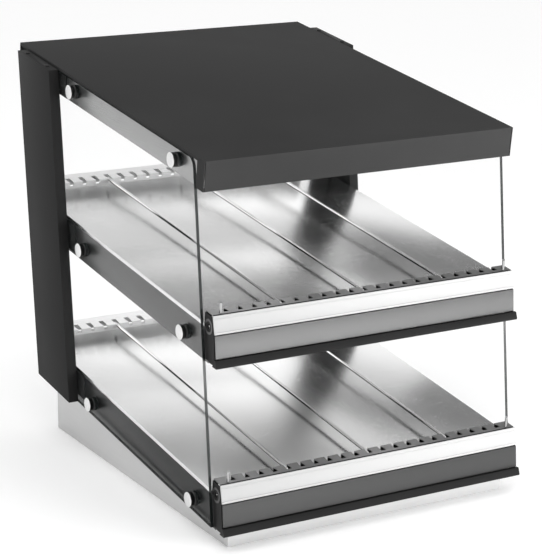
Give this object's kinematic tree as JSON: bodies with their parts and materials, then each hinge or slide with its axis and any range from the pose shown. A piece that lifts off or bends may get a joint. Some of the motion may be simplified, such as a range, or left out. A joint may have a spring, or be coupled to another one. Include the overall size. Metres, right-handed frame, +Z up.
{
  "type": "hot food display case",
  "caption": "Slanted counter-top hot food display case with tiered heated shelves, clear glass sides, lift-out divider rods and a black hood.",
  "frame": {"origin": "on the counter under the middle of the overall outline", "axes": "+Z up, +Y towards the back (controls side), +X to the right seen from the customer's side"},
  "size_m": [0.6, 0.7373, 0.6889],
  "materials": {
    "plinth_steel": "satin stainless sheet",
    "panel_steel": "satin stainless sheet",
    "knob": "matt black moulded",
    "switch": "matt black moulded",
    "rocker": "gloss black moulded",
    "inlet": "matt black moulded",
    "hood_paint": "satin black paint",
    "hood_steel": "satin stainless sheet",
    "heater": "dull heat-aged plate",
    "lamp": "warm white diffuser",
    "post_paint": "satin black paint",
    "glass": "clear toughened glass",
    "standoff": "turned satin cap on a black barrel",
    "deck": "bright brushed",
    "pan": "satin",
    "front_ledge": "satin",
    "rear_ledge": "bright satin",
    "label_strip": "white extruded",
    "fascia_upper": "satin anodised",
    "fascia_lower": "satin anodised",
    "trim": "matt black",
    "end_cap": "matt black",
    "chrome": "polished",
    "divider": "polished wire"
  },
  "bodies": {
    "case": {"base_plinth": "plinth_steel", "base_control_panel": "panel_steel", "switch_bezel": "switch", "power_inlet": "inlet", "hood_cover": "hood_paint", "hood_housing": "hood_steel", "hood_heater": "heater", "hood_lamp": "lamp", "tier_lamp": "lamp", "post_left": "post_paint", "glass_left": "glass", "standoff_left_hood_front": "standoff", "standoff_left_hood_rear": "standoff", "standoff_left_mid_front": "standoff", "standoff_left_mid_rear": "standoff", "standoff_left_low_front": "standoff", "standoff_left_low_rear": "standoff", "post_right": "post_paint", "glass_right": "glass", "standoff_right_hood_front": "standoff", "standoff_right_hood_rear": "standoff", "standoff_right_mid_front": "standoff", "standoff_right_mid_rear": "standoff", "standoff_right_low_front": "standoff", "standoff_right_low_rear": "standoff", "shelf_upper_deck": "deck", "shelf_upper_pan": "pan", "shelf_upper_heater": "heater", "shelf_upper_front_ledge": "front_ledge", "shelf_upper_rear_ledge": "rear_ledge", "shelf_upper_label_strip": "label_strip", "shelf_upper_fascia": "fascia_upper", "shelf_upper_trim": "trim", "shelf_upper_end_left": "end_cap", "shelf_upper_end_right": "end_cap", "shelf_upper_pin_left": "chrome", "shelf_upper_pin_right": "chrome", "shelf_lower_deck": "deck", "shelf_lower_pan": "pan", "shelf_lower_heater": "heater", "shelf_lower_front_ledge": "front_ledge", "shelf_lower_rear_ledge": "rear_ledge", "shelf_lower_label_strip": "label_strip", "shelf_lower_fascia": "fascia_lower", "shelf_lower_trim": "trim", "shelf_lower_end_left": "end_cap", "shelf_lower_end_right": "end_cap", "shelf_lower_pin_left": "chrome", "shelf_lower_pin_right": "chrome"},
    "knob_upper": {"knob_upper": "knob"},
    "knob_lower": {"knob_lower": "knob"},
    "switch_rocker": {"switch_rocker": "rocker"},
    "divider_upper_left": {"divider_upper_left": "divider"},
    "divider_upper_centre": {"divider_upper_centre": "divider"},
    "divider_upper_right": {"divider_upper_right": "divider"},
    "divider_lower_left": {"divider_lower_left": "divider"},
    "divider_lower_centre": {"divider_lower_centre": "divider"},
    "divider_lower_right": {"divider_lower_right": "divider"}
  },
  "joints": [
    {"name": "lift_upper_left", "type": "slide", "parent": "case", "child": "divider_upper_left", "axis": [0, -0.1253, 0.9921], "range_m": [0, 0.04]},
    {"name": "lift_upper_centre", "type": "slide", "parent": "case", "child": "divider_upper_centre", "axis": [0, -0.1253, 0.9921], "range_m": [0, 0.04]},
    {"name": "lift_upper_right", "type": "slide", "parent": "case", "child": "divider_upper_right", "axis": [0, -0.1253, 0.9921], "range_m": [0, 0.04]},
    {"name": "lift_lower_left", "type": "slide", "parent": "case", "child": "divider_lower_left", "axis": [0, -0.1253, 0.9921], "range_m": [0, 0.04]},
    {"name": "lift_lower_centre", "type": "slide", "parent": "case", "child": "divider_lower_centre", "axis": [0, -0.1253, 0.9921], "range_m": [0, 0.04]},
    {"name": "lift_lower_right", "type": "slide", "parent": "case", "child": "divider_lower_right", "axis": [0, -0.1253, 0.9921], "range_m": [0, 0.04]},
    {"name": "turn_upper", "type": "hinge", "parent": "case", "child": "knob_upper", "pos_m": [0.082, 0.2963, 0.052], "axis": [0, -1, 0], "range_deg": [0, 270]},
    {"name": "turn_lower", "type": "hinge", "parent": "case", "child": "knob_lower", "pos_m": [0.132, 0.2963, 0.052], "axis": [0, -1, 0], "range_deg": [0, 270]},
    {"name": "press_rocker", "type": "hinge", "parent": "case", "child": "switch_rocker", "pos_m": [0.02, 0.2997, 0.052], "axis": [0, 0, -1], "range_deg": [0, 14]}
  ]
}
